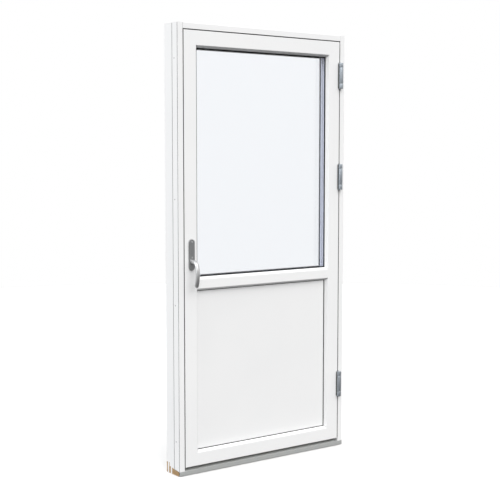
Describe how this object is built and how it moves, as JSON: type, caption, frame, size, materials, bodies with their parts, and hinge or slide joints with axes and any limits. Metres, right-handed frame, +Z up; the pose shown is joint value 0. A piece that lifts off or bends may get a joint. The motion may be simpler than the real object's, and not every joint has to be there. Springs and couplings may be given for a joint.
{
  "type": "glass door",
  "caption": "Outward-opening timber patio door in its frame, with a triple pane over a flat panel, lever handles, rod-driven bolts and loose-pin hinges.",
  "frame": {"origin": "middle of the underside of the threshold, half way between the outside and inside faces of the frame", "axes": "+Z up, +X to the right and +Y away from a viewer who faces the hinge side of the door from outside"},
  "size_m": [0.99, 0.2038, 2.09],
  "materials": {
    "painted_timber": "smooth satin white paint on timber",
    "oak": "oiled oak with open grain",
    "dowel_wood": "bare beech",
    "aluminium_cover": "matt natural anodised",
    "seal_rubber": "matt black rubber",
    "edge_sealant": "dull dark sealant",
    "zinc_steel": "bright zinc plated",
    "hinge_metal": "satin silver grey coating",
    "handle_metal": "satin silver grey coating",
    "screw_metal": "satin",
    "glass": "clear",
    "spacer": "matt grey warm-edge bar",
    "panel_skin": "smooth satin white paint on board",
    "panel_foam": "rigid insulating foam",
    "block_plastic": "matt"
  },
  "bodies": {
    "frame": {"left_jamb": "painted_timber", "right_jamb": "painted_timber", "head": "painted_timber", "threshold": "oak", "threshold_cover": "aluminium_cover", "frame_seal": "seal_rubber", "strike_plates": "zinc_steel", "strike_screws": "zinc_steel", "hinge_frame_plate_bottom": "hinge_metal", "hinge_frame_plate_middle": "hinge_metal", "hinge_frame_plate_top": "hinge_metal", "hinge_pins": "hinge_metal", "hinge_washers": "zinc_steel", "frame_hinge_screws": "zinc_steel"},
    "leaf": {"lock_stile": "painted_timber", "hinge_stile": "painted_timber", "top_rail": "painted_timber", "mid_rail": "painted_timber", "bottom_rail": "painted_timber", "joint_dowels": "dowel_wood", "outer_pane": "glass", "middle_pane": "glass", "inner_pane": "glass", "outer_spacer": "spacer", "inner_spacer": "spacer", "edge_sealant": "edge_sealant", "glass_gasket_front": "seal_rubber", "glass_gasket_back": "seal_rubber", "glass_bead_top": "painted_timber", "glass_bead_bottom": "painted_timber", "glass_side_beads": "painted_timber", "panel_front_sheet": "panel_skin", "panel_core": "panel_foam", "panel_back_sheet": "panel_skin", "panel_gasket_front": "seal_rubber", "panel_gasket_back": "seal_rubber", "panel_bead_top": "painted_timber", "panel_bead_bottom": "painted_timber", "panel_side_beads": "painted_timber", "setting_blocks": "block_plastic", "hinge_leaf_plate_bottom": "hinge_metal", "hinge_leaf_plate_middle": "hinge_metal", "hinge_leaf_plate_top": "hinge_metal", "leaf_hinge_screws": "zinc_steel", "lock_case": "zinc_steel", "lock_faceplate": "zinc_steel", "faceplate_screws": "zinc_steel", "handle_plate_outer": "handle_metal", "handle_plate_inner": "handle_metal", "handle_screws": "screw_metal"},
    "handle": {"spindle": "zinc_steel", "drive_pinion": "zinc_steel", "lever_outer": "handle_metal", "lever_inner": "handle_metal"},
    "bolts": {"bolt_bottom": "zinc_steel", "bolt_middle": "zinc_steel", "bolt_top": "zinc_steel"},
    "rod": {"drive_rod": "zinc_steel"}
  },
  "joints": [
    {"name": "leaf_swing", "type": "hinge", "parent": "frame", "child": "leaf", "pos_m": [0.4647, -0.0685, 1], "axis": [0, 0, 1], "range_deg": [0, 110]},
    {"name": "handle_turn", "type": "hinge", "parent": "leaf", "child": "handle", "pos_m": [-0.426, 0, 1.002], "axis": [0, -1, 0], "range_deg": [0, 90]},
    {"name": "bolt_slide", "type": "slide", "parent": "leaf", "child": "bolts", "axis": [1, 0, 0], "range_m": [0, 0.01201]},
    {"name": "rod_slide", "type": "slide", "parent": "leaf", "child": "rod", "axis": [0, 0, -1], "range_m": [0, 0.01768]}
  ],
  "couplings": [
    {"joint": "bolt_slide", "follows": "handle_turn", "m_per_rad": 0.0076394},
    {"joint": "rod_slide", "follows": "handle_turn", "m_per_rad": 0.01125}
  ]
}
